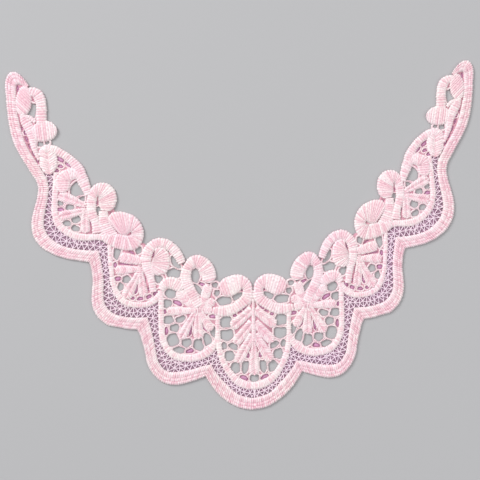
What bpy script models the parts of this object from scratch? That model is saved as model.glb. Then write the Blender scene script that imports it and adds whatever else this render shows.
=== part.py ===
"""Lace collar: a scalloped neckline collar of guipure lace, lying flat.

Every piece of it is embroidery: a net ground in nine panels, a broad border
round the outer edge, a satin cord inside each scallop, palmettes that stand in
the scallops, and scrolls that run along the neck edge. The collar lies on its
back in the XY plane, with the neck opening towards +Y and its face up.
"""
import bmesh
import bpy
from math import cos, pi, radians, sin, sqrt

MM = 0.001

# Heights above the surface that the collar lies on
GROUND_THICK = 1.0 * MM
SEAM = 0.3 * MM
BORDER_EDGE = 1.5 * MM
BORDER_CROWN = 2.1 * MM
SATIN_FOOT = GROUND_THICK + SEAM
SATIN_EDGE = SATIN_FOOT + 0.6 * MM
SATIN_CROWN = SATIN_FOOT + 1.1 * MM
CUTTER_TOP = 6.0 * MM
STAGGER = 0.02 * MM      # each petal of a palmette is this much lower than the one before it

# How finely a smooth run is divided, along the run, and round a bulb
BAND_STEP = 5.0
COLUMN_STEP = 5.0
PETAL_SECTIONS = 5
BULB_SIDES = 12

# Ends and swellings of the satin shapes, as shares of their width or length
ROUND_REACH = 0.4        # a round end reaches this share of the width past the last place
ROUND_PLACES = (0.5, 0.9)
PETAL_FOOT = 0.42        # width of a petal at its foot
PETAL_FULL = 0.985       # a petal's last section, just short of its tip
BULB_CROWN = 0.6         # size of the level top of a bulb

# The two halves are one pattern, but the lace lies a little out of true: the
# neck edge is drawn to the right of the outer edge, as far as the LEAN times
# the height over a curve, and past ARM_FROM the left arm lies higher.
LEAN = 0.0285
LEAN_FROM = 8.7
LEAN_BEND = 0.0138
LEAN_EASE = 1.82e-7
ARM_RISE = 0.00052
ARM_FROM = 160.0

# The pattern's own measures are in millimetres: "out" from the collar's centre
# line, "up" from the lowest point of the centre scallop.

# Border: a row for each place across the band.
# outer_out, outer_up, inner_out, inner_up
BORDER = {
    "centre": [(34.0, 25.0, 29.8, 33.4), (31.0, 20.6, 27.0, 28.8), (26.9, 15.1, 23.4, 24.2),
               (21.2, 9.5, 18.0, 18.4), (14.6, 4.9, 12.2, 13.2), (7.6, 1.6, 6.2, 10.2),
               (0.0, 0.5, 0.0, 9.2)],
    "1": [(34.0, 25.0, 29.8, 33.4), (40.5, 22.9, 37.0, 32.2), (47.5, 20.9, 44.5, 30.3),
          (54.5, 20.0, 52.5, 29.3), (60.8, 21.2, 58.5, 29.9), (66.5, 25.0, 62.8, 32.9),
          (70.8, 30.3, 65.4, 37.2), (73.4, 36.8, 66.8, 43.0), (74.6, 43.0, 67.8, 49.5),
          (76.2, 50.5, 69.2, 57.0), (78.0, 56.6, 70.7, 63.0), (79.6, 60.4, 72.4, 69.0)],
    "2": [(79.6, 60.4, 72.4, 69.0), (85.5, 61.1, 79.5, 69.3), (92.0, 62.8, 86.5, 70.2),
          (98.8, 64.6, 93.0, 72.1), (104.0, 68.4, 97.6, 75.3), (107.7, 74.2, 100.4, 79.8),
          (109.5, 81.0, 101.4, 85.0), (109.3, 88.5, 101.2, 91.0), (108.7, 95.5, 101.2, 98.0),
          (109.2, 103.0, 102.0, 107.0), (110.6, 109.0, 104.0, 117.0)],
    "3": [(110.6, 109.0, 104.0, 117.0), (118.0, 110.4, 112.0, 117.7), (126.0, 112.1, 120.2, 119.0),
          (133.8, 115.0, 127.5, 121.3), (140.5, 119.2, 133.4, 125.0), (145.3, 124.8, 137.6, 129.8),
          (148.2, 132.0, 139.7, 135.3), (148.2, 140.0, 139.5, 141.5), (146.5, 148.0, 138.2, 148.3),
          (144.4, 155.0, 137.0, 155.0), (143.5, 162.0, 136.3, 162.0)],
    "arm": [(143.5, 162.0, 136.3, 162.0), (145.3, 167.5, 137.6, 168.3), (148.6, 173.0, 140.3, 174.0),
            (152.5, 179.8, 143.6, 180.3), (156.6, 187.3, 147.4, 187.2), (159.8, 195.5, 150.7, 194.5),
            (162.0, 205.0, 153.3, 203.3), (163.3, 215.0, 155.8, 214.0), (163.9, 225.0, 156.7, 224.0),
            (164.2, 233.0, 156.6, 230.3), (162.5, 239.2, 156.0, 232.2), (158.0, 241.2, 154.8, 232.3),
            (152.6, 237.8, 152.7, 231.3), (148.0, 231.8, 150.3, 229.3)],
}

# Net ground: the neck edge of each panel, and the seam to the next panel out.
# out, up
NECK_EDGE = {
    "centre": [(0.0, 85.8), (1.6, 89.0), (4.6, 92.4), (10.8, 94.4), (17.0, 92.8), (23.9, 89.2)],
    "1": [(25.6, 92.0), (26.6, 98.6), (31.2, 105.2), (38.2, 108.6), (45.8, 107.6)],
    "2": [(47.8, 109.2), (51.6, 115.0), (57.0, 121.2), (65.0, 123.2), (72.2, 121.0)],
    "3": [(74.2, 124.0), (75.6, 130.6), (80.4, 136.8), (90.8, 142.6), (91.8, 155.0),
          (96.0, 161.6), (103.0, 163.2), (108.6, 161.4)],
    "arm": [(110.6, 164.0), (112.4, 169.6), (117.6, 178.6), (125.4, 186.0), (134.0, 191.2),
            (131.8, 197.4), (132.6, 204.4), (137.6, 208.4), (137.8, 219.6), (141.6, 227.4),
            (147.6, 229.0)],
}
PANEL_SEAM = {
    "centre": [(25.4, 80.0), (27.4, 68.0), (27.4, 48.0)],
    "1": [(50.0, 99.0), (58.0, 96.4), (65.6, 88.6), (66.6, 76.0)],
    "2": [(82.0, 118.0), (94.0, 119.0), (99.4, 121.4)],
    "3": [(113.4, 157.6), (124.0, 161.6)],
}
PANELS = ("centre", "1", "2", "3", "arm")

# Satin columns: a row for each place along the column's middle.
# out, up, width
COLUMNS = {
    "cord_centre": [(25.0, 67.5, 3.4), (24.9, 58.0, 3.7), (24.9, 50.0, 4.2), (23.9, 42.0, 4.6),
                    (21.9, 36.0, 4.7), (19.0, 30.0, 4.8), (15.2, 24.8, 5.2), (10.5, 20.4, 5.7),
                    (5.0, 17.9, 5.9), (0.0, 17.2, 5.8)],
    "cord_1": [(63.2, 87.0, 4.3), (63.3, 76.0, 4.2), (63.3, 66.0, 4.2), (63.0, 56.0, 4.5),
               (61.3, 49.5, 4.9), (58.3, 44.0, 5.3), (53.5, 40.3, 5.6), (47.5, 38.7, 5.6),
               (41.0, 38.6, 5.8), (35.5, 40.3, 6.2), (30.8, 43.3, 6.2), (27.8, 47.0, 5.0)],
    "cord_2": [(96.6, 120.6, 3.2), (96.3, 112.0, 3.8), (95.8, 102.0, 4.0), (95.0, 94.0, 4.2),
               (93.0, 87.5, 4.6), (89.5, 82.3, 4.8), (84.5, 79.0, 4.6), (78.5, 77.8, 4.4),
               (72.5, 78.0, 4.5), (68.0, 80.2, 4.8), (65.0, 83.2, 4.4)],
    "cord_3": [(132.0, 172.0, 3.0), (132.2, 162.0, 4.0), (132.8, 152.0, 4.2), (132.8, 145.0, 4.4),
               (131.3, 138.5, 5.0), (127.8, 133.2, 5.0), (123.0, 129.5, 5.0), (117.5, 127.2, 5.2),
               (111.5, 126.4, 5.2), (105.0, 126.6, 5.0)],
    "scroll_0": [(28.5, 71.0, 4.5), (24.5, 70.2, 7.2), (19.0, 70.0, 8.0), (14.0, 71.3, 7.8),
                 (9.0, 74.3, 7.4), (5.0, 78.5, 7.2), (3.7, 83.5, 7.0), (4.9, 88.3, 7.2),
                 (8.5, 91.8, 6.6), (13.0, 92.2, 5.0)],
    "scroll_1": [(37.5, 74.0, 6.5), (40.0, 79.0, 7.5), (43.0, 85.0, 7.6), (45.3, 91.0, 7.4),
                 (46.0, 97.0, 7.0), (44.4, 102.0, 7.4), (40.3, 105.4, 8.8), (35.4, 103.4, 10.4),
                 (31.9, 98.8, 10.8), (30.6, 94.2, 10.4)],
    "scroll_2": [(68.5, 86.0, 5.0), (69.8, 91.5, 6.6), (71.3, 98.0, 7.2), (72.8, 104.5, 7.4),
                 (72.4, 111.0, 7.4), (69.8, 116.6, 7.4), (64.8, 119.8, 7.2), (58.8, 118.8, 7.2),
                 (54.0, 114.4, 6.8), (50.8, 109.0, 6.0), (49.0, 103.5, 4.0)],
    "scroll_3": [(101.0, 126.5, 5.5), (95.5, 122.9, 7.6), (89.5, 120.7, 8.0), (83.0, 120.5, 8.0),
                 (78.6, 124.0, 8.2), (78.0, 129.8, 8.0), (81.0, 135.3, 8.0), (86.5, 138.6, 7.0),
                 (91.0, 140.2, 4.5)],
    "scroll_4": [(103.0, 129.0, 5.0), (106.0, 135.0, 6.2), (108.2, 142.0, 7.0), (108.9, 149.0, 7.2),
                 (108.0, 155.5, 8.0), (104.2, 159.4, 8.8), (99.3, 158.0, 11.0), (97.6, 153.0, 13.0),
                 (97.3, 149.0, 12.0)],
    "stem_3": [(101.4, 141.0, 3.4), (100.4, 136.5, 4.0), (97.6, 131.4, 4.4), (93.4, 126.4, 4.2)],
    "scroll_5": [(110.8, 155.0, 4.5), (112.5, 161.0, 6.5), (115.4, 167.0, 8.6), (118.9, 173.0, 9.2),
                 (123.3, 178.3, 9.0), (128.2, 183.1, 8.0), (133.2, 187.3, 6.5), (137.0, 190.0, 4.5)],
    "scroll_6": [(142.6, 181.0, 2.2), (145.3, 187.6, 4.0), (147.0, 193.5, 6.0), (147.0, 199.5, 7.4)],
    "scroll_7": [(140.4, 205.0, 6.8), (140.3, 214.0, 7.2), (140.5, 220.0, 7.4), (142.8, 225.6, 7.4),
                 (147.2, 228.0, 5.6)],
    "cap_1": [(63.3, 87.2, 4.3), (60.3, 91.3, 7.5), (55.0, 91.2, 9.0), (50.5, 88.6, 8.0)],
    "stalk": [(0.0, 77.4, 2.2), (0.0, 68.0, 3.2), (0.0, 58.0, 3.4), (0.0, 48.0, 4.6)],
}
ROUND_ENDED = ("scroll_0", "scroll_1", "scroll_3", "scroll_4")

# Bulbs, padded and covered with satin stitch: out, up, half_width, half_height, turn (degrees)
BULBS = {
    "scroll_0": (16.0, 87.0, 8.3, 7.2, 0.0),
    "scroll_2": (61.8, 106.7, 6.5, 9.6, 0.0),
    "scroll_3": (87.0, 131.6, 6.6, 6.2, 0.0),
    "scroll_6": (138.8, 200.5, 8.6, 7.3, 0.0),
    "leaf_5_upper": (137.0, 181.0, 6.3, 10.4, -5.0),
    "leaf_5_lower": (126.0, 166.0, 6.3, 8.8, -12.0),
    "leaf_7": (151.0, 220.4, 5.2, 10.2, -6.0),
    "hub_1": (38.4, 71.6, 4.4, 3.6, 0.0),
    "hub_2": (77.0, 101.0, 3.0, 4.4, 0.0),
    "hub_3": (113.0, 145.6, 2.6, 3.6, 0.0),
}

# Petals of the palmettes: foot_out, foot_up, tip_out, tip_up, width
PETALS = {
    "palmette_centre": [(1.0, 70.5, 17.0, 57.8, 7.6), (1.0, 62.0, 15.2, 46.6, 7.2),
                        (1.0, 53.5, 11.8, 33.8, 7.4)],
    "palmette_foot": [(0.0, 50.0, 0.0, 24.6, 8.6)],
    "palmette_1": [(36.0, 73.0, 30.8, 89.0, 8.6), (39.5, 73.0, 54.3, 83.8, 7.0),
                   (39.5, 71.5, 60.0, 70.8, 7.4), (40.5, 70.0, 50.6, 50.3, 8.0),
                   (38.8, 69.5, 38.6, 50.2, 7.6), (36.8, 70.0, 29.4, 57.0, 7.4),
                   (36.0, 72.0, 28.2, 71.0, 6.6)],
    "palmette_2": [(75.3, 105.2, 92.0, 110.6, 7.8), (76.0, 101.0, 94.0, 100.2, 7.6),
                   (77.0, 99.5, 89.5, 82.6, 8.4), (76.6, 99.5, 75.8, 81.4, 5.8)],
    "palmette_3": [(112.0, 147.5, 130.8, 157.6, 7.2), (111.8, 144.5, 130.3, 141.3, 7.2),
                   (112.2, 145.0, 113.6, 129.6, 5.0)],
}

# The satin pieces from the top one down: each is cut back where an earlier one lies
ORDER = ("scroll_1", "scroll_0", "scroll_2", "scroll_4", "scroll_3", "scroll_6", "scroll_5",
         "scroll_7", "leaf_7", "leaf_5_upper", "leaf_5_lower", "cap_1",
         "cord_centre", "cord_1", "cord_2", "cord_3",
         "palmette_centre", "palmette_1", "palmette_2", "palmette_3")
EXTRA_COLUMN = {"scroll_3": "stem_3", "palmette_centre": "stalk"}
HUB = {"palmette_1": "hub_1", "palmette_2": "hub_2", "palmette_3": "hub_3"}


# ---------------------------------------------------------------- the pattern's curves

def smooth(rows, step):
    """Rows of numbers along a smooth curve through the given rows, about a step apart."""
    first = [2 * a - b for a, b in zip(rows[0], rows[1])]
    last = [2 * a - b for a, b in zip(rows[-1], rows[-2])]
    run = [first, *rows, last]
    out = []
    for before, here, there, after in zip(run, run[1:], run[2:], run[3:]):
        length = sqrt((there[0] - here[0]) ** 2 + (there[1] - here[1]) ** 2)
        parts = max(1, round(length / step))
        for part in range(parts):
            t = part / parts
            out.append([0.5 * (2 * b + (c - a) * t + (2 * a - 5 * b + 4 * c - d) * t * t
                               + (3 * b - a - 3 * c + d) * t ** 3)
                        for a, b, c, d in zip(before, here, there, after)])
    out.append(list(rows[-1]))
    return out


def both_halves(rows, flips=(0,)):
    """Rows of a half that ends on the centre line, carried on over the other half."""
    other = [[-value if at in flips else value for at, value in enumerate(row)] for row in rows[:-1]]
    return list(rows) + other[::-1]


def laid(out, up, side):
    """Where a point of the pattern lies, in millimetres, on the side -1 or +1."""
    x = side * out
    curve = LEAN_FROM + LEAN_BEND * out ** 2 - LEAN_EASE * out ** 4
    rise = ARM_RISE * max(0.0, up - ARM_FROM) ** 2
    return x + LEAN * (up - curve), up - side * rise


def middle_of_box():
    """The middle of the laid collar, which is bounded by the border's outer edge."""
    points = [laid(row[0], row[1], side) for part in PANELS for side in (-1, 1)
              for row in smooth(BORDER[part], BAND_STEP)]
    xs, ys = zip(*points)
    return (min(xs) + max(xs)) / 2, (min(ys) + max(ys)) / 2


MIDDLE = middle_of_box()


def place(out, up, z, side):
    """A point of the pattern in metres, from the middle of the laid collar."""
    x, y = laid(out, up, side)
    return (x - MIDDLE[0]) * MM, (y - MIDDLE[1]) * MM, z


def unit(a, b):
    """The direction from a to b, and the one square to it."""
    length = sqrt((b[0] - a[0]) ** 2 + (b[1] - a[1]) ** 2)
    along = ((b[0] - a[0]) / length, (b[1] - a[1]) / length)
    return along, (-along[1], along[0])


def column_sections(rows, round_end, grow):
    """Left edge, middle and right edge of a satin column, section by section."""
    run = smooth(rows, COLUMN_STEP)
    ways = [unit(run[0], run[1])]
    ways += [unit(a, b) for a, b in zip(run, run[2:])]
    ways.append(unit(run[-2], run[-1]))
    if round_end:
        out, up, width = run[-1]
        along, _ = ways[-1]
        for place_along in ROUND_PLACES:
            past = ROUND_REACH * width * place_along
            run.append([out + along[0] * past, up + along[1] * past,
                        width * sqrt(1 - place_along ** 2)])
            ways.append(ways[-1])
    sections = []
    for (out, up, width), (along, across) in zip(run, ways):
        half = width / 2 + grow
        sections.append(((out + across[0] * half, up + across[1] * half), (out, up),
                         (out - across[0] * half, up - across[1] * half)))
    if grow:
        for at, sign in ((0, -1), (-1, 1)):
            along = ways[at][0]
            moved = [(p[0] + sign * along[0] * grow, p[1] + sign * along[1] * grow)
                     for p in sections[at]]
            sections[at] = tuple(moved)
    return sections


def petal_sections(foot_out, foot_up, tip_out, tip_up, width):
    """A petal: narrow at its foot, broad past its middle, round at its tip."""
    along, across = unit((foot_out, foot_up), (tip_out, tip_up))
    length = sqrt((tip_out - foot_out) ** 2 + (tip_up - foot_up) ** 2)
    broad = 1 - min(0.45, 0.5 * width / length)
    sections = []
    for step in range(PETAL_SECTIONS):
        reach = sin(step / (PETAL_SECTIONS - 1) * pi / 2) * PETAL_FULL
        swell = PETAL_FOOT + (1 - PETAL_FOOT) * sin(min(1, reach / broad) * pi / 2)
        past_broad = max(0.0, reach - broad) / (1 - broad)
        half = width / 2 * swell * sqrt(1 - past_broad ** 2)
        out = foot_out + along[0] * length * reach
        up = foot_up + along[1] * length * reach
        sections.append(((out + across[0] * half, up + across[1] * half), (out, up),
                         (out - across[0] * half, up - across[1] * half)))
    return sections


# ---------------------------------------------------------------- meshes and objects

def thread(name, colour, roughness):
    """A matt thread for one kind of piece."""
    material = bpy.data.materials.new(name)
    material.use_nodes = True
    shader = material.node_tree.nodes["Principled BSDF"]
    shader.inputs["Base Color"].default_value = (*colour, 1.0)
    shader.inputs["Roughness"].default_value = roughness
    shader.inputs["Metallic"].default_value = 0.0
    return material


def new_object(name, mesh_parts, material, collection):
    """An object from vertices and faces, with its faces turned outwards."""
    vertices, faces = mesh_parts
    bm = bmesh.new()
    corners = [bm.verts.new(vertex) for vertex in vertices]
    for face in faces:
        bm.faces.new([corners[index] for index in face])
    bmesh.ops.recalc_face_normals(bm, faces=bm.faces)
    mesh = bpy.data.meshes.new(name)
    bm.to_mesh(mesh)
    bm.free()
    obj = bpy.data.objects.new(name, mesh)
    if material is not None:
        mesh.materials.append(material)
    collection.objects.link(obj)
    return obj


def lofted(rings):
    """Vertices and faces of a closed loft through rings of equal length."""
    count = len(rings[0])
    vertices = [point for ring in rings for point in ring]
    faces = [(ring * count + i, ring * count + (i + 1) % count,
              (ring + 1) * count + (i + 1) % count, (ring + 1) * count + i)
             for ring in range(len(rings) - 1) for i in range(count)]
    faces.append(tuple(range(count)))
    faces.append(tuple(range((len(rings) - 1) * count, len(rings) * count)))
    return vertices, faces


def crowned(sections, side, foot, edge, crown):
    """A band that is flat below and highest along its middle."""
    return lofted([[place(*left, foot, side), place(*right, foot, side), place(*right, edge, side),
                    place(*middle, crown, side), place(*left, edge, side)]
                   for left, middle, right in sections])


def prism(sections, side, foot, top):
    """A band with upright sides and a level top."""
    return lofted([[place(*left, foot, side), place(*right, foot, side),
                    place(*right, top, side), place(*left, top, side)]
                   for left, middle, right in sections])


def bulb_ring(bulb, scale, grow, z, side):
    """A ring round a bulb's middle."""
    out, up, half_width, half_height, turn = bulb
    ring = []
    for corner in range(BULB_SIDES):
        angle = 2 * pi * corner / BULB_SIDES
        a = (half_width + grow) * scale * cos(angle)
        b = (half_height + grow) * scale * sin(angle)
        ring.append(place(out + a * cos(radians(turn)) - b * sin(radians(turn)),
                          up + a * sin(radians(turn)) + b * cos(radians(turn)), z, side))
    return ring


def domed(bulb, side):
    """A bulb, flat below and domed above."""
    return lofted([bulb_ring(bulb, 1.0, 0.0, SATIN_FOOT, side),
                   bulb_ring(bulb, 1.0, 0.0, SATIN_EDGE, side),
                   bulb_ring(bulb, BULB_CROWN, 0.0, SATIN_CROWN, side)])


def cutter_object(name, mesh_parts, cutters):
    """A shape that only cuts or is joined to others, and isn't part of the collar itself."""
    obj = new_object(name, mesh_parts, None, cutters)
    obj.hide_render = True
    obj.display_type = "WIRE"
    return obj


def combine(obj, others, operation, cutters):
    """Joins others to an object, or cuts them out of it."""
    if not others:
        return
    group = bpy.data.collections.new(f"{obj.name}_{operation.lower()}")
    cutters.children.link(group)
    for other in others:
        group.objects.link(other)
    modifier = obj.modifiers.new(operation.title(), "BOOLEAN")
    modifier.operation = operation
    modifier.operand_type = "COLLECTION"
    modifier.collection = group
    modifier.solver = "EXACT"


def box_of(vertices):
    """The lowest and highest x and y of a shape."""
    xs = [vertex[0] for vertex in vertices]
    ys = [vertex[1] for vertex in vertices]
    return min(xs), max(xs), min(ys), max(ys)


def overlap(a, b):
    """Whether two upright boxes meet in plan."""
    return a[0] < b[1] and b[0] < a[1] and a[2] < b[3] and b[2] < a[3]


# ---------------------------------------------------------------- the pieces of the collar

def sides_of(name):
    """The centre pieces run across both halves, and all others come in twos."""
    return (1,) if name.endswith("centre") else (-1, 1)


def named(name, side):
    """A piece's name, with L or R where there is one on each side."""
    return name if name.endswith("centre") else f"{name}_{'LR'[side > 0]}"


def band_sections(part, grow):
    """Outer edge, middle and inner edge of the border, section by section."""
    rows = both_halves(BORDER[part], (0, 2)) if part == "centre" else BORDER[part]
    sections = []
    for outer_out, outer_up, inner_out, inner_up in smooth(rows, BAND_STEP):
        outer, inner = (outer_out, outer_up), (inner_out, inner_up)
        inwards, _ = unit(outer, inner)
        inner = (inner_out + inwards[0] * grow, inner_up + inwards[1] * grow)
        middle = ((outer_out + inner[0]) / 2, (outer_up + inner[1]) / 2)
        sections.append((outer, middle, inner))
    for at, towards in ((0, 1), (-1, -2)):
        along, _ = unit(sections[at][1], sections[towards][1])
        sections[at] = tuple((x - along[0] * grow, y - along[1] * grow) for x, y in sections[at])
    return sections


def make_borders(collar, material):
    """The border: a broad padded band round each scallop and up each arm."""
    for part in PANELS:
        for side in sides_of(part):
            sections = band_sections(part, -SEAM / MM / 2)
            new_object(named(f"border_{part}", side),
                       crowned(sections, side, 0.0, BORDER_EDGE, BORDER_CROWN), material, collar)


def drawn_in(outline, gap):
    """A closed outline with every edge moved inwards by the gap."""
    turns = zip(outline, outline[1:] + outline[:1])
    inward = 1 if sum(a[0] * b[1] - b[0] * a[1] for a, b in turns) > 0 else -1
    out = []
    for before, here, after in zip(outline[-1:] + outline, outline, outline[1:] + outline[:1]):
        _, first = unit(before, here)
        _, second = unit(here, after)
        spread = inward * gap / (1 + first[0] * second[0] + first[1] * second[1])
        out.append((here[0] + (first[0] + second[0]) * spread,
                    here[1] + (first[1] + second[1]) * spread))
    return out


def make_grounds(collar, material):
    """The net ground: a thin wall inside the border of each scallop, out to the neck edge."""
    for at, part in enumerate(PANELS):
        rail = [tuple(row[2:]) for row in smooth(BORDER[part], BAND_STEP)]
        if part == "centre":
            half = rail[::-1] + PANEL_SEAM[part][::-1] + NECK_EDGE[part][::-1]
            outline = half + [(-out, up) for out, up in half[-2:0:-1]]
        else:
            outline = rail + PANEL_SEAM.get(part, [])[::-1] + NECK_EDGE[part][::-1]
            outline += PANEL_SEAM[PANELS[at - 1]]
        for side in sides_of(part):
            shape = drawn_in(outline, SEAM / MM / 2)
            rings = [[place(out, up, z, side) for out, up in shape] for z in (0.0, GROUND_THICK)]
            new_object(named(f"ground_{part}", side), lofted(rings), material, collar)


def shapes_of(name, grow):
    """The sections of a piece's columns and petals, and its bulbs."""
    sections, bulbs = [], []
    for column in (name, EXTRA_COLUMN.get(name)):
        if column in COLUMNS:
            rows = COLUMNS[column]
            if column == "cord_centre":
                rows = both_halves(rows)
            sections.append(column_sections(rows, column in ROUND_ENDED, grow))
    petals = list(PETALS.get(name, []))
    if name == "palmette_centre":
        petals += [(-petal[0], petal[1], -petal[2], petal[3], petal[4]) for petal in petals]
        petals += PETALS["palmette_foot"]
    sections += [petal_sections(*petal) for petal in petals]
    for bulb in (name, HUB.get(name)):
        if bulb in BULBS:
            bulbs.append(BULBS[bulb])
    return sections, bulbs


def make_satin(name, side, earlier, collar, cutters, material):
    """One satin piece that lies on the ground, cut back where an earlier one lies."""
    sections, bulbs = shapes_of(name, 0.0)
    solids = [crowned(run, side, SATIN_FOOT, SATIN_EDGE - at * STAGGER, SATIN_CROWN - at * STAGGER)
              for at, run in enumerate(sections)]
    solids += [domed(bulb, side) for bulb in bulbs]
    node = named(name, side)
    obj = new_object(node, solids[0], material, collar)
    joined = [cutter_object(f"{node}_with_{at}", solid, cutters)
              for at, solid in enumerate(solids[1:])]
    combine(obj, joined, "UNION", cutters)
    extent = box_of([vertex for solid in solids for vertex in solid[0]])
    combine(obj, [twin for twin, reach in earlier if overlap(extent, reach)], "DIFFERENCE", cutters)


def twins_of(name, side, cutters):
    """Wider twins of a piece's shapes, which cut its neighbours back by the seam."""
    gap = SEAM / MM
    sections, bulbs = shapes_of(name, gap)
    solids = [prism(run, side, GROUND_THICK, CUTTER_TOP) for run in sections]
    solids += [lofted([bulb_ring(bulb, 1.0, gap, z, side) for z in (GROUND_THICK, CUTTER_TOP)])
               for bulb in bulbs]
    return [(cutter_object(f"{named(name, side)}_twin_{at}", solid, cutters), box_of(solid[0]))
            for at, solid in enumerate(solids)]


def make_ornament(collar, cutters, material):
    """Scrolls, leaves, cords and palmettes, worked on the ground from the top one down."""
    earlier = []
    for side in (-1, 1):
        band = prism(band_sections("arm", SEAM / MM / 2), side, -GROUND_THICK, CUTTER_TOP)
        earlier.append((cutter_object(named("border_arm_twin", side), band, cutters), box_of(band[0])))
    for name in ORDER:
        for side in sides_of(name):
            make_satin(name, side, earlier, collar, cutters, material)
        if not name.startswith("palmette"):
            for side in sides_of(name):
                earlier += twins_of(name, side, cutters)


def main():
    for obj in list(bpy.data.objects):
        bpy.data.objects.remove(obj, do_unlink=True)
    collar = bpy.data.collections.new("lace_collar")
    cutters = bpy.data.collections.new("cutters")
    for collection in (collar, cutters):
        bpy.context.scene.collection.children.link(collection)
    satin = thread("pink_satin_stitch", (0.90, 0.68, 0.71), 0.55)
    net = thread("pink_net", (0.86, 0.66, 0.72), 0.7)
    make_borders(collar, satin)
    make_grounds(collar, net)
    make_ornament(collar, cutters, satin)


main()
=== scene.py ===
"""A lace collar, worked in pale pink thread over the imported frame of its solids.

The collar lies flat on its back with its face up. Its pattern is measured in millimetres:
"out" from the collar's centre line, "up" from the lowest point of the centre scallop, and
every piece of the pattern is worked once for each half.
"""

import bpy
import numpy as np
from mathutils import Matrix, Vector
from mathutils.geometry import delaunay_2d_cdt


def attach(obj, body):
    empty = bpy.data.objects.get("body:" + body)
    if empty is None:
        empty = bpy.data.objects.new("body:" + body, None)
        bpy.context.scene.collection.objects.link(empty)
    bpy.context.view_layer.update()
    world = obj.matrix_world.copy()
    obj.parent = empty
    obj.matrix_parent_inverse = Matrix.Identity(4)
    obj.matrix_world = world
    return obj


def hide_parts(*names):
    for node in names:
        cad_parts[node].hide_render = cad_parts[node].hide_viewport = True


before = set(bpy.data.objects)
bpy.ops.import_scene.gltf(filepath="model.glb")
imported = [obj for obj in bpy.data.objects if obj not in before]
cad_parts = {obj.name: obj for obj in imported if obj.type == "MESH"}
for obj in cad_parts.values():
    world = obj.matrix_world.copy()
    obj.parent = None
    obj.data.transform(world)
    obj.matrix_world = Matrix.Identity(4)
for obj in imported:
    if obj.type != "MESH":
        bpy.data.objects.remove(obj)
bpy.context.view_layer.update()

# --------------------------------------------------- border
# The border is a broad padded band round each scallop and up each arm.
# It is pale pink rayon, in three rows of short stitches side by side that lie across
# the band, with the thread's turns along both edges.

MM = 0.001
LEAN = 0.0285                           # to the right, for each millimetre up
LEAN_CURVE = (8.7, 0.0138, -1.82e-7)    # where there is no lean: its height, and its rise outwards
ARM_RISE, ARM_FROM = 0.00052, 160.0

# outer_out, outer_up, inner_out, inner_up
BORDER = {
    "centre": [(0, 0.5, 0, 9.2), (7.6, 1.6, 6.2, 10.2), (14.6, 4.9, 12.2, 13.2), (21.2, 9.5, 18, 18.4),
        (26.9, 15.1, 23.4, 24.2), (31, 20.6, 27, 28.8), (34, 25, 29.8, 33.4)],
    "1": [(34, 25, 29.8, 33.4), (40.5, 22.9, 37, 32.2), (47.5, 20.9, 44.5, 30.3),
        (54.5, 20, 52.5, 29.3), (60.8, 21.2, 58.5, 29.9), (66.5, 25, 62.8, 32.9),
        (70.8, 30.3, 65.4, 37.2), (73.4, 36.8, 66.8, 43), (74.6, 43, 67.8, 49.5),
        (76.2, 50.5, 69.2, 57), (78, 56.6, 70.7, 63), (79.6, 60.4, 72.4, 69)],
    "2": [(79.6, 60.4, 72.4, 69), (85.5, 61.1, 79.5, 69.3), (92, 62.8, 86.5, 70.2),
        (98.8, 64.6, 93, 72.1), (104, 68.4, 97.6, 75.3), (107.7, 74.2, 100.4, 79.8),
        (109.5, 81, 101.4, 85), (109.3, 88.5, 101.2, 91), (108.7, 95.5, 101.2, 98),
        (109.2, 103, 102, 107), (110.6, 109, 104, 117)],
    "3": [(110.6, 109, 104, 117), (118, 110.4, 112, 117.7), (126, 112.1, 120.2, 119),
        (133.8, 115, 127.5, 121.3), (140.5, 119.2, 133.4, 125), (145.3, 124.8, 137.6, 129.8),
        (148.2, 132, 139.7, 135.3), (148.2, 140, 139.5, 141.5), (146.5, 148, 138.2, 148.3),
        (144.4, 155, 137, 155), (143.5, 162, 136.3, 162)],
    "arm": [(143.5, 162, 136.3, 162), (145.3, 167.5, 137.6, 168.3), (148.6, 173, 140.8, 174),
        (152.5, 179.8, 144.4, 180.2), (156.6, 187.3, 148.3, 187), (159.8, 195.5, 151.6, 194.3),
        (162, 205, 154.1, 203.2), (163.3, 215, 156.2, 214), (163.9, 225, 156.7, 224),
        (164.2, 233, 156.6, 230.3), (162.5, 239.2, 156, 232.2), (158, 241.2, 154.8, 232.3),
        (152.6, 237.8, 152.7, 231.3), (148, 231.8, 150.3, 229.3)],
}
BORDER_STITCH, BORDER_HEIGHT = 1.5, 2.0
BORDER_WORK = dict(rows=(0.27, 0.53), groove=0.34, lip=0.35, fill=0.42, brick=False, seam=0.2,
                   pale=0.06)
# at_x, at_y, moved_x, moved_y, reach
CREPT = [(110, 76, 0.26, -1.08, 32), (114, 177, -0.95, 0.08, 20), (-125, 188, 0.35, 0.61, 32),
    (-105, 73, 0.34, -0.85, 32), (35, 104, 1.19, -0.86, 13), (-20, 6, -0.82, -1, 13),
    (-28, 107, 0.37, 0.74, 20), (-113, 175, 1.11, 0.72, 13), (128, 189, -1.69, 0.51, 13),
    (124, 113, 0.76, -0.79, 13)]


def laid(out, up, side):
    """Where points of the pattern lie, in millimetres, on the left (-1) or the right (+1).
    The lace lies a little out of true: it leans to the right, and the left arm is higher."""
    base, square, fourth = LEAN_CURVE
    lean = LEAN * (up - base - square * out ** 2 - fourth * out ** 4)
    rise = ARM_RISE * np.maximum(0.0, up - ARM_FROM) ** 2
    return side * out + lean, up - side * rise


def crept(x, y):
    """The same places, where the soft lace has crept by a millimetre or so as it was put down."""
    near = [np.exp(-((x - row[0]) ** 2 + (y - row[1]) ** 2) / (2 * row[4] ** 2)) for row in CREPT]
    return (x + sum(row[2] * share for row, share in zip(CREPT, near)),
            y + sum(row[3] * share for row, share in zip(CREPT, near)))


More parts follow.
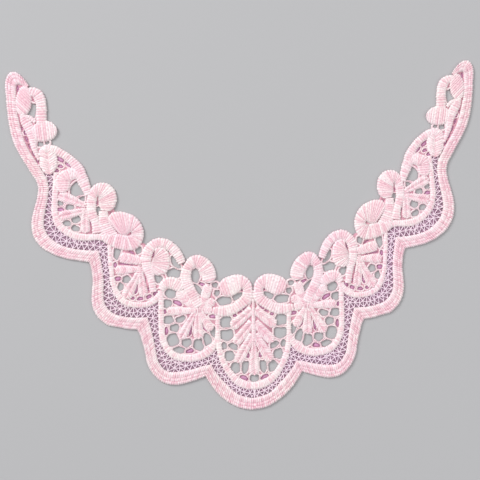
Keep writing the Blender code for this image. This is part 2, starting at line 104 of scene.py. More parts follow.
def smooth(rows, step=1.0):
    """Rows of numbers along a smooth curve through the given rows, about a step apart."""
    rows = np.array(rows, float)
    run = np.vstack([2 * rows[0] - rows[1], rows, 2 * rows[-1] - rows[-2]])
    out = []
    for a, b, c, d in zip(run, run[1:], run[2:], run[3:]):
        parts = max(1, round(np.hypot(*(c - b)[:2]) / step))
        for t in np.arange(parts) / parts:
            out.append(0.5 * (2 * b + (c - a) * t + (2 * a - 5 * b + 4 * c - d) * t * t
                              + (3 * b - a - 3 * c + d) * t ** 3))
    return np.array(out + [rows[-1]])


def both_halves(rows, flips):
    """Rows that start on the centre line, carried on over the other half before them."""
    other = np.array(rows, float)[:0:-1]
    other[:, flips] *= -1
    return np.vstack([other, rows])


OUTLINE_STEP = 5.0
edge_points = [laid(row[0], row[1], side) for rows in BORDER.values()
               for row in smooth(rows[::-1] if rows is BORDER["centre"] else rows, OUTLINE_STEP)
               for side in (-1, 1)]
MIDDLE = (np.min(edge_points, axis=0) + np.max(edge_points, axis=0)) / 2

rng = np.random.default_rng(11)
RIDGE = np.array([0.0, 0.8, 1.0, 0.8])  # height of a stitch at each quarter, as a share
FOOT = 0.02                             # the thread's underside, just clear of the table
UNEVEN = 0.18                           # how unevenly stitches are spaced, as a share of one
STRAY = 0.13                            # how far the end of a stitch falls long or short
WANDER, WANDER_LENGTH = 0.1, 5          # how far the whole edge wanders, and over what length
SHADE = 0.24                            # how much paler or deeper one stitch is than the next
# From the turn of a stitch inwards: share of the crown's height, share of the groove's depth
TURN = ((0.3, 0.2), (0.64, 0.6), (0.87, 1.0))
SHOULDER_RISE, SEAM_RISE = 0.975, 0.97


def along(points, run, places):
    """Points of a rail at the given places of its run."""
    return np.stack([np.interp(places, run, points[:, 0]), np.interp(places, run, points[:, 1])], 1)


def across_band(width, rows, shoulder, lip):
    """The points across a band: distance from its first rail, share of the height, share of the
    groove's depth, and which row each is in, or -1 on the seam between two rows."""
    turn_at = [0.0 * width, np.minimum(0.2, 0.08 * width), np.minimum(0.8, 0.2 * width)]
    shoulder = np.minimum(shoulder, 0.36 * width)
    lip = np.minimum(lip, 0.17 * width)
    last = len(rows) % 2
    shares = [0.0, *rows, 1.0]
    points = [(at, *rise, 0) for at, rise in zip(turn_at, TURN)]
    if not rows:
        points.append((shoulder, SHOULDER_RISE, 1.0, 0))
    for at, (low, high) in enumerate(zip(shares, shares[1:])):
        points.append(((low + high) / 2 * width, 1.0, 1.0, at % 2))
        if at < len(rows):
            points += [(high * width + away * lip, SEAM_RISE, 1.0, row)
                       for away, row in ((-1, at % 2), (0, -1), (1, (at + 1) % 2))]
    if not rows:
        points.append((width - shoulder, SHOULDER_RISE, 1.0, last))
    points += [(width - at, *rise, last) for at, rise in zip(turn_at[::-1], TURN[::-1])]
    return (np.stack([point[0] for point in points], 1), *np.array([point[1:] for point in points]).T)


def stitched(rails, pitch, crown, rows=(), feather=0.0, bite=0.3, groove=0.45, shoulder=2.0,
             valley=0.4, lip=0.3, rim=0.3, closed=0.0, fill=0.0, brick=True, seam=0.45, pale=0.0):
    """A padded band of satin stitch between two rails, one ridge to each stitch.
    rows are the shares of the width where one row of stitches ends and the next starts: a valley
    lies there, lip is how far it spreads and seam how high the stitches stand in it. closed is
    the length at the far end where the rows run together, and brick sets each row half a stitch on.
    feather sweeps both ends of the stitches forwards, and bite draws the edge in between them.
    groove is the depth between two stitches, and fill is how much of the painted shade in that groove is
    taken back.
    rim is how much whiter the turns along the edges are, a painted highlight, and pale how much whiter
    the last row."""
    # Along the band: four places to each stitch, which is highest at the third
    a, b = rails[:, :2], rails[:, 2:4]
    m = (a + b) / 2
    steps = [np.hypot(*np.diff(points, axis=0).T) for points in (a, b, m)]
    run = np.concatenate([[0.0], np.cumsum(0.5 * steps[2] + 0.5 * np.maximum(steps[0], steps[1]))])
    length = run[-1]
    count = max(3, round(length / pitch))
    knots = np.arange(count + 1.0)
    knots[1:-1] += rng.uniform(-UNEVEN, UNEVEN, count - 1)
    quarter = knots[:-1, None] + np.arange(4) / 4 * np.diff(knots)[:, None]
    turn = np.append(quarter.ravel(), knots[-1])
    place = turn * length / count
    ridge = np.append(np.tile(RIDGE, count), 0.0)
    offset_ridge = np.append(np.tile(np.roll(RIDGE, 2), count), 1.0) if brick else ridge

    # The two ends and the middle of the thread at each place
    width = np.hypot(*(along(b, run, place) - along(a, run, place)).T)
    lead = np.minimum(np.minimum(feather * width / 2, 0.9 * place), 0.7 * (length - place))
    edge_a, edge_b = along(a, run, place + lead), along(b, run, place + lead)
    middle = along(m, run, place)
    span_a = np.maximum(np.hypot(*(middle - edge_a).T), 1e-4)
    span_b = np.maximum(np.hypot(*(edge_b - middle).T), 1e-4)
    width = span_a + span_b

    place_across, height, depth, row_of = across_band(width, rows, shoulder, lip)
    ridges = np.where(row_of == 1, offset_ridge[:, None], ridge[:, None])
    split = np.clip((length - place) / closed - 1, 0, 1)[:, None] if closed else 1.0
    ridges = np.where(row_of == -1, seam * ridge[:, None] + 0.8 * (1 - split), ridges)

    # No two stitches are quite the same shade or length
    shade = np.repeat(rng.uniform(-1, 1, (count + 1, 2)), 4, axis=0)[:len(place)]
    reach = np.repeat(rng.normal(0, STRAY, (count + 1, 2)), 4, axis=0)[:len(place)]
    bends = max(2, int(length / WANDER_LENGTH)) + 1
    wander = np.stack([np.interp(place, np.linspace(0, length, bends), rng.normal(0, WANDER, bends))
                       for _ in "ab"], 1)
    slim = np.clip(width / 4, 0.25, 1.0)
    for end, sign, order in ((0, 1, (0, 1, 2)), (1, -1, (-1, -2, -3))):
        end_ridge = ridges[:, order[0]]
        pull = (bite * (1 - end_ridge) - reach[:, end] * end_ridge + wander[:, end]) * slim
        for column, share in zip(order, (1.0, 0.8, 0.4)):
            place_across[:, column] += sign * pull * share

    # Heights, with three more points across for the flat underside
    z = FOOT + (crown - FOOT) * height - groove * slim[:, None] * (1 - ridges) * depth
    z = np.where(row_of == -1, FOOT + (crown - FOOT) * SEAM_RISE - valley * split, z)
    under = [place_across[:, -1] - 0.1, width / 2, place_across[:, 0] + 0.1]
    place_across = np.hstack([place_across, np.stack(under, 1)])
    z = np.hstack([z, np.full((len(place), 3), FOOT)])
    share_a = place_across / span_a[:, None]
    share_b = (place_across - span_a[:, None]) / span_b[:, None]
    xy = np.where((share_a < 1)[..., None],
                  edge_a[:, None] + (middle - edge_a)[:, None] * share_a[..., None],
                  middle[:, None] + (edge_b - middle)[:, None] * share_b[..., None])
    # Colour up the ramp: each stitch's own tone, then painted shade deep in the grooves rising to a
    # painted highlight on the crests
    shade_and_tone = np.where(row_of == 1, shade[:, 1:], shade[:, :1]) * SHADE
    shade_and_tone += 0.9 * (fill + (1 - fill) * ridges)
    shade_and_tone[:, (row_of >= 0) & (np.arange(len(row_of)) >= len(row_of) - 4)] += pale
    # Painted highlight along the turns at both edges of the band
    edges = [0, 1, 2, -3, -2, -1]
    shade_and_tone[:, edges] += rim * (0.4 + 0.6 * ridges[:, edges])
    # The underside points take painted shade
    shade_and_tone = np.hstack([shade_and_tone, np.full((len(place), 3), 0.1)])
    uv = np.stack([place_across - width[:, None] / 2,
                   np.broadcast_to(turn[:, None], place_across.shape)], -1)
    return loft(np.concatenate([xy, z[..., None]], -1), uv, shade_and_tone)


def loft(rings, uv, shade_and_tone):
    """A closed body through rings of points, with its stitch map and its painted shade and tone at each
    point.
    """
    sections, around = rings.shape[:2]
    at = np.arange(sections * around).reshape(sections, around)
    quads = np.stack([at[:-1], np.roll(at[:-1], -1, 1), np.roll(at[1:], -1, 1), at[1:]], -1)
    return {"points": rings.reshape(-1, 3), "uv": uv.reshape(-1, 2), "shade_and_tone": shade_and_tone.ravel(),
            "faces": [quads.reshape(-1, 4), at[:1, ::-1], at[-1:]]}


def outwards(points, faces):
    """Whether the faces of a closed body look outwards."""
    volume = 0.0
    for block in faces:
        for corner in range(1, block.shape[1] - 1):
            a, b, c = points[block[:, 0]], points[block[:, corner]], points[block[:, corner + 1]]
            volume += np.einsum("ij,ij->", a, np.cross(b, c))
    return volume > 0


def sides(name):
    """The sides that a piece is worked on: one that crosses the centre line is worked once."""
    return (1,) if name.endswith("centre") else (-1, 1)


def named(name, side):
    """A piece's name, with L or R where there is one on each side."""
    return name if name.endswith("centre") else f"{name}_{'LR'[side > 0]}"


pieces = {}                             # every finished piece, by its name


def sewn(name, bodies, side, threads):
    """One piece of the embroidery from its worked bodies, which takes its solid's place.
    A body says which of the threads it is worked in, where there is more than one."""
    name = named(name, side)
    points, uvs, shades_and_tones, corners, sizes, used, base = [], [], [], [], [], [], 0
    for body in bodies:
        x, y = crept(*laid(body["points"][:, 0], body["points"][:, 1], side))
        laid_points = np.stack([x - MIDDLE[0], y - MIDDLE[1], body["points"][:, 2]], 1) * MM
        turned = 1 if outwards(laid_points - laid_points.mean(0), body["faces"]) else -1
        for block in body["faces"]:
            corners.append((block[:, ::turned] + base).ravel())
            sizes += [block.shape[1]] * len(block)
            used += [body.get("thread", 0)] * len(block)
        points.append(laid_points)
        uvs.append(body["uv"])
        shades_and_tones.append(body["shade_and_tone"])
        base += len(laid_points)
    points, uvs, corners = np.vstack(points), np.vstack(uvs), np.concatenate(corners)
    mesh = bpy.data.meshes.new(name)
    mesh.vertices.add(len(points))
    mesh.vertices.foreach_set("co", points.ravel())
    mesh.loops.add(len(corners))
    mesh.loops.foreach_set("vertex_index", corners)
    mesh.polygons.add(len(sizes))
    mesh.polygons.foreach_set("loop_start", np.concatenate([[0], np.cumsum(sizes)[:-1]]))
    mesh.update(calc_edges=True)
    mesh.uv_layers.new(name="stitch").data.foreach_set("uv", uvs[corners].ravel())
    mesh.attributes.new("shade_and_tone", "FLOAT", "POINT").data.foreach_set("value", np.concatenate(shades_and_tones))
    mesh.shade_smooth()
    for thread in threads:
        mesh.materials.append(thread)
    mesh.polygons.foreach_set("material_index", used)
    piece = pieces[name] = bpy.data.objects.new(f"lace_{name}", mesh)
    bpy.context.scene.collection.objects.link(piece)
    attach(piece, "root")
    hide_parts(name)
    return piece


def satin(name, bodies):
    """A piece of the satin work, on each side that it is worked on."""
    for side in sides(name):
        sewn(name, bodies, side, [satin_thread])


def linear(red, green, blue):
    """A colour as the eye sees it, 0 to 255, as the shader's numbers."""
    share = np.array([red, green, blue]) / 255
    return (*np.where(share < 0.04045, share / 12.92, ((share + 0.055) / 1.055) ** 2.4), 1.0)


GLEAM_SHADE = (206, 170, 189)                 # painted sheen: the darker colour of stitch-sized patches where the satin catches less light


def thread_material(name, groove_shade, body, crest_highlight, cream, blush, strands, relief):
    """Lustrous embroidery thread, with painted shade, pinker, in the grooves and a painted highlight,
    paler, on the crests of the stitches.
    """
    material = bpy.data.materials.new(name)
    material.use_nodes = True
    nodes, links = material.node_tree.nodes, material.node_tree.links
    shader = nodes["Principled BSDF"]
    for socket, value in (("Roughness", 0.5), ("Sheen Weight", 0.25), ("Sheen Roughness", 0.4),
                          ("Sheen Tint", linear(255, 235, 240)), ("Specular IOR Level", 0.4)):
        shader.inputs[socket].default_value = value

    def add(kind, output, sockets, **settings):
        """An output of a new node, with numbers, colours or other outputs put in its sockets."""
        node = nodes.new(kind)
        for setting, value in settings.items():
            setattr(node, setting, value)
        for socket, source in sockets.items():
            if isinstance(source, bpy.types.NodeSocket):
                links.new(source, node.inputs[socket])
            else:
                node.inputs[socket].default_value = source
        return node.outputs[output]

    def mixed(share, first, second, blend="MIX"):
        return add("ShaderNodeMix", 2, {0: share, 6: first, 7: second},
                   data_type="RGBA", blend_type=blend)

    def noise(places, scale, detail):
        return add("ShaderNodeTexNoise", "Fac", {"Vector": places, "Scale": scale, "Detail": detail})

    def bands(places, direction, **sockets):
        return add("ShaderNodeTexWave", "Fac", {"Vector": places, **sockets}, bands_direction=direction)

    def scaled(scale, turn=0.0):
        return add("ShaderNodeMapping", "Vector",
                   {"Vector": stitch, "Scale": (*scale, 1.0), "Rotation": (0.0, 0.0, turn)})

    def ranged(*numbers):
        names = ("Value", "From Min", "From Max", "To Min", "To Max")
        return add("ShaderNodeMapRange", "Result", dict(zip(names, numbers)))

    # The colour ramp runs from painted shade in the grooves, through the thread's own colour, to a
    # painted highlight on the crests
    ramp = nodes.new("ShaderNodeValToRGB")
    links.new(add("ShaderNodeAttribute", "Fac", {}, attribute_name="shade_and_tone"), ramp.inputs["Fac"])
    for at, colour in enumerate((groove_shade, crest_highlight)):
        ramp.color_ramp.elements[at].color = linear(*colour)
    ramp.color_ramp.elements.new(0.5).color = linear(*body)

    # The dye takes unevenly: whole stretches are creamier or pinker than the rest.
    patches = noise(add("ShaderNodeTexCoord", "Object", {}), 28.0, 3.0)
    tint = mixed(ranged(patches, 0.35, 0.65, 0.0, 1.0), linear(*cream), linear(*blush))
    dyed = mixed(0.75, ramp.outputs["Color"], tint, "MULTIPLY")

    # Each stitch is a few strands side by side, and each strand is twisted from finer ones.
    stitch = add("ShaderNodeUVMap", "UV", {}, uv_map="stitch")
    strand = bands(stitch, "Y", **{"Scale": strands * np.pi / 10, "Distortion": 0.6,
                                   "Detail Scale": 1.5})
    twist = bands(scaled((2.4, 2.0), 0.9), "X", Scale=0.6, Distortion=1.0)
    fibre = noise(scaled((1.2, 9.0)), 2.0, 4.0)
    # Painted sheen: patches about one stitch in size are darkened, as satin gleams unevenly in the light
    painted_gleam = ranged(noise(scaled((0.7, 1.1)), 1.0, 2.0), 0.3, 0.7, 0.5, 0.0)
    links.new(mixed(painted_gleam, dyed, linear(*GLEAM_SHADE), "MULTIPLY"), shader.inputs["Base Color"])
    normal = {}
    for texture, height in ((strand, 0.05), (twist, 0.02), (fibre, 0.05)):
        normal = {"Normal": add("ShaderNodeBump", "Normal", {"Strength": relief, "Distance": height * MM,
                                                             "Height": texture, **normal})}
    links.new(normal["Normal"], shader.inputs["Normal"])
    return material


satin_thread = thread_material("pink_satin_thread", groove_shade=(184, 108, 138), body=(247, 207, 217),
                               crest_highlight=(255, 251, 251), cream=(254, 251, 246),
                               blush=(255, 240, 245), strands=3, relief=0.6)

for part, rows in BORDER.items():
    rows = both_halves(rows, [0, 2]) if part == "centre" else rows
    satin(f"border_{part}", [stitched(smooth(rows), BORDER_STITCH, BORDER_HEIGHT, **BORDER_WORK)])

# ---------------------------------------------- satin cords
# A cord runs inside each scallop, between the net and the open work.
# It is one raised row of satin stitch, worked over a padding of laid threads.

# out, up, width
CORDS = {
    "cord_centre": [(0, 17.2, 5.8), (5, 17.9, 5.9), (10.5, 20.4, 5.7), (15.2, 24.8, 5.2), (19, 30, 4.8),
        (21.9, 36, 4.7), (23.9, 42, 4.6), (24.9, 50, 4.2), (24.9, 58, 3.7), (25, 67.5, 3.4)],
    "cord_1": [(24.8, 52, 3.2), (27.6, 47.2, 4.8), (30.8, 43.3, 6.2), (35.5, 40.3, 6.2),
        (41, 38.6, 5.8), (47.5, 38.7, 5.6), (53.5, 40.3, 5.6), (58.3, 44, 5.3), (61.3, 49.5, 4.9),
        (63, 56, 4.5), (63.3, 66, 4.2), (63.3, 76, 4.2), (63.2, 87, 4.3)],
    "cord_2": [(63, 85.6, 3.6), (65.4, 82.8, 4.4), (68, 80.2, 4.8), (72.5, 78, 4.5), (78.5, 77.8, 4.4),
        (84.5, 79, 4.6), (89.5, 82.3, 4.8), (93, 87.5, 4.6), (95, 94, 4), (95.9, 102, 3.6),
        (96.6, 112, 3.5), (96.9, 120.6, 3.2)],
    "cord_3": [(99.5, 125.6, 5.4), (105, 126.6, 5), (111.5, 126.4, 5.2), (117.5, 127.2, 5.2),
        (123, 129.5, 5), (127.8, 133.2, 5), (131.3, 138.5, 5), (132.8, 145, 4.4), (132.8, 152, 4.2),
        (132.2, 162, 4), (132, 172, 3)],
}
CORD_STITCH, CORD_HEIGHT = 1.6, 1.75
CORD_WORK = dict(groove=0.2, fill=0.7)
ROUND_END = (18, 36, 54, 70, 82)        # degrees round a rounded end


def column_rails(rows, round_start=0.0, round_end=0.0):
    """The two edges of a column given by its middle and width. A round end reaches the given
    share of the width past its last place."""
    run = smooth(rows)
    ways = np.gradient(run[:, :2], axis=0)
    ways /= np.hypot(*ways.T)[:, None]
    for reach, at, sign in ((round_start, 0, -1), (round_end, -1, 1)):
        if not reach:
            continue
        ends = []
        for angle in np.radians(ROUND_END):
            past = ways[at] * sign * reach * run[at, 2] * np.sin(angle)
            ends.append([*(run[at, :2] + past), run[at, 2] * np.cos(angle)])
        extra, turns = np.array(ends), np.repeat(ways[at][None], len(ends), 0)
        run = np.vstack([extra[::-1], run] if sign < 0 else [run, extra])
        ways = np.vstack([turns, ways] if sign < 0 else [ways, turns])
    across = np.stack([-ways[:, 1], ways[:, 0]], 1) * run[:, 2:] / 2
    return np.hstack([run[:, :2] + across, run[:, :2] - across])


for name, rows in CORDS.items():
    rows = both_halves(rows, [0]) if name == "cord_centre" else rows
    satin(name, [stitched(column_rails(rows), CORD_STITCH, CORD_HEIGHT, **CORD_WORK)])

# ------------------------------------------------ palmettes
# A palmette stands in each scallop: petals that spread from a hub, and in the centre scallop
# three pairs up a stalk. Most petals are two rows of satin stitch that meet along the middle,
# and the others are covered from edge to edge.

# foot_out, foot_up, tip_out, tip_up, foot_width, width
PETALS = {
    "palmette_centre": [(0, 50.5, 0, 24.4, 2.8, 7.8), (0.8, 53, 11.8, 33.6, 6, 7.6),
        (0.8, 61.5, 13.6, 47, 6.2, 7.6), (0.8, 70.4, 15.6, 58.4, 6.2, 7.6)],
    "palmette_1": [(36, 73, 30.6, 89, 5, 7), (39.5, 71.5, 51.8, 85.6, 4.8, 7.2),
        (39.5, 71.5, 59.6, 72, 4.2, 6.6), (40.6, 70, 50.6, 52.2, 4, 6.8),
        (38.6, 69.5, 38.2, 51.4, 4, 7.4), (36.8, 70, 29.2, 57, 4.2, 6.6), (36, 72, 28.2, 71, 4.4, 6.4),
        (37.5, 73, 26.6, 77.6, 4.4, 6.4)],
    "palmette_2": [(75.5, 108, 90.6, 112, 6, 7.8), (76, 102.6, 93.6, 102.8, 4.2, 6.8),
        (78, 99.8, 87.2, 82.8, 4.4, 7.8), (76.4, 100.5, 74.8, 83.4, 3.8, 6.4)],
    "palmette_3": [(112, 148, 130.2, 156.4, 4.2, 7.4), (112, 145, 130.4, 141.4, 4.2, 7),
        (112.6, 146, 112.6, 129.2, 5, 6.6)],
}
ONE_ROW = {"palmette_1": (0, 1, 2, 5, 6, 7), "palmette_2": (0, 1)}
STALK = [(0, 77.8, 1.8), (0, 68, 2.8), (0, 58, 3.2), (0, 48, 4)]
# out, up, half_width, half_height, turn of the oval, way of its stitches (degrees)
HUBS = {
    "palmette_1": (38, 71.6, 3.4, 3, 0, 90),
    "palmette_2": (77, 101, 3, 4.4, 0, 0),
    "palmette_3": (113, 145.6, 2.6, 3.6, 0, 0),
}
PETAL_STITCH, PETAL_HEIGHT = 1.4, 2.0
PETAL_STEP = 0.03                       # how much lower each petal is than the last
PETAL_WORK = dict(feather=0.6, valley=0.7, groove=0.26, lip=0.8, closed=1.2, fill=0.56, seam=0.25)
STALK_STITCH, STALK_HEIGHT, STALK_WORK = 1.0, 2.2, dict(groove=0.2, fill=0.65)
HUB_HEIGHT = 1.9
PETAL_SWELL, PETAL_TIP = 1.4, 2.4       # how late a petal broadens, and how blunt its tip is
OVAL_END = 0.16                         # how much of each end of an oval is bare, in radians


def petal_rails(foot_out, foot_up, tip_out, tip_up, foot_width, width):
    """The two edges of a petal: narrow at its foot, broad past its middle, round at its tip."""
    foot, way = np.array([foot_out, foot_up]), np.array([tip_out - foot_out, tip_up - foot_up])
    length = np.hypot(*way)
    reach = np.sin(np.linspace(0, np.pi / 2, 30))
    broad = 1 - min(0.4, 0.4 * width / length)
    swell = np.sin(np.minimum(1, reach / broad) ** PETAL_SWELL * np.pi / 2)
    past = np.maximum(0.0, reach - broad) / (1 - broad)
    half = ((foot_width + (width - foot_width) * swell) / 2
            * np.maximum(np.sqrt(1 - past ** PETAL_TIP), 0.04))
    middle = foot + way * reach[:, None]
    across = np.array([-way[1], way[0]]) / length * half[:, None]
    return np.hstack([middle + across, middle - across])


def turning(degrees):
    """The matrix that turns a place by an angle."""
    cos, sin = np.cos(np.radians(degrees)), np.sin(np.radians(degrees))
    return np.array([[cos, -sin], [sin, cos]])


def oval_rails(out, up, half_width, half_height, turn, stitch_way):
    """The two ends of the stitches that cover an oval, which lie the stitch way."""
    shape = turning(turn) @ np.diag([half_width, half_height])
    way = np.linalg.solve(shape, turning(stitch_way)[:, 0])
    way /= np.hypot(*way)
    across = np.array([-way[1], way[0]])
    height = -np.cos(np.linspace(OVAL_END, np.pi - OVAL_END, 26))[:, None]
    chord = np.sqrt(1 - height ** 2)
    ends = [(across * height + way * chord * sign) @ shape.T + (out, up) for sign in (1, -1)]
    return np.hstack(ends)


for name, petals in PETALS.items():
    bodies = []
    for at, petal in enumerate(petals):
        rails = petal_rails(*petal)
        in_pairs = name == "palmette_centre" and petal[2]
        rows = () if at in ONE_ROW.get(name, ()) else (0.5,)
        bodies += [stitched(half, PETAL_STITCH, PETAL_HEIGHT - PETAL_STEP * at, rows, **PETAL_WORK)
                   for half in ([rails, rails * (-1, 1, -1, 1)] if in_pairs else [rails])]
    if name in HUBS:
        bodies.append(stitched(oval_rails(*HUBS[name]), PETAL_STITCH, HUB_HEIGHT))
    else:
        bodies.append(stitched(column_rails(STALK), STALK_STITCH, STALK_HEIGHT, **STALK_WORK))
    satin(name, bodies)

# ------------------------------------------ scrolls and cap
# Scrolls run along the neck edge, curl over the palmettes and end in padded bulbs.
# They are the thickest satin work of the collar: the stitches lie across each column
# and turn with it, and they fan out where it ends.

# out, up, width
SCROLLS = {
    "scroll_1": [(37.5, 74, 6.4), (40.3, 79, 7.4), (43.3, 85, 8), (45.8, 91, 8.2), (46.3, 97, 7.6),
        (44.4, 102, 7.4), (40.3, 105.4, 8.8), (35.4, 103.4, 10.4), (31.9, 98.8, 10.8),
        (30.6, 94.2, 10.4)],
    "scroll_2": [(68.2, 86, 4.6), (69.1, 91.5, 5.2), (70.3, 98, 5.8), (72.3, 104.5, 7),
        (72.4, 111, 7.4), (69.8, 116.6, 7.4), (64.8, 119.8, 7.2), (58.8, 118.8, 7.2), (54, 114.6, 7.2),
        (50.6, 109.4, 6.8), (48.6, 104.6, 5.4)],
    "scroll_3": [(101, 126.8, 5.5), (95.5, 124, 9), (89.5, 122.2, 10.8), (86, 121.4, 10.8)],
    "scroll_4": [(104.4, 129, 8), (105.4, 135, 6), (107.8, 142, 6.8), (108.7, 146, 7)],
    "scroll_5": [(110.8, 155, 4.5), (112.5, 161, 6.5), (115.2, 167, 7.8), (117.9, 173.6, 7),
        (122.1, 179.5, 5.8), (127.3, 184.1, 5.5), (133.2, 187.6, 6.2), (138.6, 188, 6.2),
        (141.6, 183.6, 5)],
    "scroll_6": [(142.6, 181, 2.2), (145, 187.6, 3.8), (146.4, 193.5, 5.2), (147.2, 199.5, 6.6),
        (149.6, 205, 7), (152, 209.5, 6), (153.6, 213, 3)],
    "scroll_7": [(140.4, 205, 6.8), (140.3, 214, 7.2), (140.5, 220, 7.4), (142.8, 225.6, 7.4),
        (147.2, 228, 5.6)],
    "cap_1": [(63.3, 87.2, 4.3), (60.3, 91.3, 7.5), (55, 91.2, 9), (50.5, 88.6, 8)],
}
# The stem inside the curl of scroll_3, and the short bar that ends scroll_6
STEM_3 = [(100.4, 144, 6.2), (100.2, 138, 7.6), (98.8, 132.5, 9.6), (96.6, 126, 11.6)]
BAR_6 = [(151, 211, 2.2), (148.6, 210.6, 3), (144.3, 206.8, 2.8)]
# scroll_0 starts at the cord, rounds the neck's lowest point and ends in a teardrop
SCROLL_0 = [(28.5, 71, 4.5), (24.5, 70.2, 7.2), (19, 70, 8), (14, 71.3, 7.8), (9, 74.3, 7.4),
    (4.6, 78.2, 8.2), (3.4, 84, 7.4)]
# edge_out, edge_up, other_out, other_up
TEARDROP_0 = [(0.3, 84, 7, 83.2), (1.2, 89.2, 7.4, 84.4), (5, 93.2, 8, 84.8), (10, 95, 8.8, 83.8),
    (15, 94.6, 11.2, 81.6), (19, 93.2, 14.6, 80), (22.4, 91, 18.6, 80), (24, 88, 21.8, 82)]
FAN_2 = [(67, 111.2, 66.4, 116.9), (67.8, 110.2, 63.2, 117.4), (68.6, 109.2, 59.5, 115.9),
    (69.2, 108, 57, 112), (69.4, 107, 56.3, 106), (69.6, 106, 57.2, 101.2), (69.8, 105, 60, 98),
    (70, 104.2, 64.5, 97), (70.2, 103.4, 68.3, 98.2)]
CURLS = {
    "scroll_3": [(87, 116, 87, 126.9), (80.6, 116, 84.6, 126.4), (76, 119.2, 83.5, 126.4),
        (73.9, 124.6, 82.8, 126.8), (74, 130.4, 82.4, 127.5), (76.2, 135.8, 82.6, 128.2),
        (80.2, 140, 83.3, 127.9), (85, 142.3, 84.2, 127.1), (89.4, 143.4, 85.4, 126.5),
        (94, 143, 86.8, 126.3), (97.2, 140.4, 88, 126.3), (96.7, 136.4, 89.2, 126.7),
        (93.2, 132, 90.2, 127.4)],
    "scroll_4": [(112.1, 144.8, 105.2, 145.2), (112, 152, 104.9, 150.6), (110.6, 157.6, 104.6, 152.8),
        (107, 161.8, 104.4, 153.6), (101.8, 163.6, 104.2, 153.6), (96.6, 162.4, 104, 152.8),
        (93, 158.8, 103.9, 151.6), (91.4, 154, 103.9, 150), (91.8, 149.2, 103.6, 148.2),
        (93.4, 145.6, 102.8, 146.2), (96.4, 143.6, 102.6, 144.6)],
}
# How round the start and the end are, as shares of the width
SCROLL_ENDS = {"scroll_1": (0, 0.42), "cap_1": (0, 0.35), "scroll_7": (0.3, 0.4)}
# out, up, half_width, half_height, turn, way of its stitches
BULB_6 = (138.8, 200.5, 8.6, 7.3, 0, 85)
SCROLL_STITCH, SCROLL_HEIGHT = 1.75, 2.3
WIDE_STITCH = {"scroll_0": 2.0, "cap_1": 2.0, "scroll_7": 1.9}
BULB_STITCH, BULB_HEIGHT, STEM_STITCH = 1.7, 2.35, 1.6
BULB_WORK = dict(fill=0.64)
SCROLL_WORK = dict(BULB_WORK, groove=0.4)

teardrop = np.vstack([column_rails(SCROLL_0)[:-1], smooth(TEARDROP_0)])
worked = {"scroll_0": [stitched(teardrop, WIDE_STITCH["scroll_0"], SCROLL_HEIGHT, **SCROLL_WORK)]}
for name, rows in SCROLLS.items():
    rails = column_rails(rows, *SCROLL_ENDS.get(name, ()))
    worked[name] = [stitched(rails, WIDE_STITCH.get(name, SCROLL_STITCH), SCROLL_HEIGHT, **SCROLL_WORK)]
worked["scroll_6"].append(stitched(oval_rails(*BULB_6), BULB_STITCH, BULB_HEIGHT, **BULB_WORK))
for name, rows in CURLS.items():
    worked[name].append(stitched(smooth(rows), SCROLL_STITCH, SCROLL_HEIGHT, **SCROLL_WORK))
worked["scroll_2"].append(stitched(smooth(FAN_2), BULB_STITCH, BULB_HEIGHT, **BULB_WORK))
for name, rows, below in (("scroll_3", STEM_3, 0.2), ("scroll_6", BAR_6, 0.3)):
    worked[name].append(stitched(column_rails(rows), STEM_STITCH, SCROLL_HEIGHT - below, **BULB_WORK))

# --------------------------------------------------- leaves
# Three leaves lie along each arm: an upper and a lower one below the bulb, and one at the tip.
# They are padded with satin stitch over them: the upper one in two rows, the lower one curled.

# out, up, half_width, half_height, turn, way of its stitches
LEAVES = {"leaf_5_upper": (136.6, 180.6, 6, 9.8, -5, -5), "leaf_7": (151.9, 221.4, 5.4, 10.3, 4, 45)}
# out, up, width
LEAF_CURL = [(113.6, 164.6, 3.6), (117.2, 168.6, 6.4), (121.8, 169.8, 8.8), (126.6, 167.4, 10.6),
    (127.2, 161.6, 9.4)]
LEAF_WORK = {"leaf_5_upper": dict(BULB_WORK, rows=(0.5,), feather=0.5, valley=0.6, lip=0.8, closed=1.5),
             "leaf_7": BULB_WORK}

leaf_curl = column_rails(LEAF_CURL, round_end=0.4)
worked["leaf_5_lower"] = [stitched(leaf_curl, SCROLL_STITCH, SCROLL_HEIGHT, **SCROLL_WORK)]
for name, leaf in LEAVES.items():
    worked[name] = [stitched(oval_rails(*leaf), BULB_STITCH, SCROLL_HEIGHT, **LEAF_WORK[name])]

for name, bodies in worked.items():
    satin(name, bodies)

# --------------------------------------- net ground and web
# A net of fine twisted threads runs between the border and the cords, over a mauve tulle that is painted
# shade: it stands for the shade seen through the net.
# Inside the cords is a close web with openings, and a thread is whipped round the larger of them.
# Each panel of the ground is one flat piece of lace.

# out, up: each panel's edge along the neck, its seam to the next panel, and the rest of the edge
# of its web, which runs on under the cords and scrolls as far as the middle of them
NECK_EDGE = {
    "centre": [(0, 85.8), (1.6, 89), (4.6, 92.4), (10.8, 94.4), (17, 92.8), (23.9, 89.2)],
    "1": [(25.6, 92), (26.6, 98.6), (31.2, 105.2), (38.2, 108.6), (45.8, 107.6)],
    "2": [(47.8, 109.2), (51.6, 115), (57, 121.2), (65, 123.2), (72.2, 121)],
    "3": [(74.2, 124), (75.6, 130.6), (80.4, 136.8), (90.8, 142.6), (91.8, 155), (96, 161.6),
        (103, 163.2), (108.6, 161.4)],
    "arm": [(110.6, 164), (112.4, 169.6), (117.6, 178.6), (125.4, 186), (134, 191.2), (131.8, 197.4),
        (132.6, 204.4), (137.6, 208.4), (137.8, 219.6), (141.6, 227.4), (147.6, 229)],
}
PANEL_SEAM = {
    "centre": [(25.4, 80), (27.4, 68), (27.4, 48)],
    "1": [(50, 99), (58, 96.4), (65.6, 88.6), (66.6, 76)],
    "2": [(82, 118), (94, 119), (99.4, 121.4)],
    "3": [(113.4, 157.6), (124, 161.6)],
}
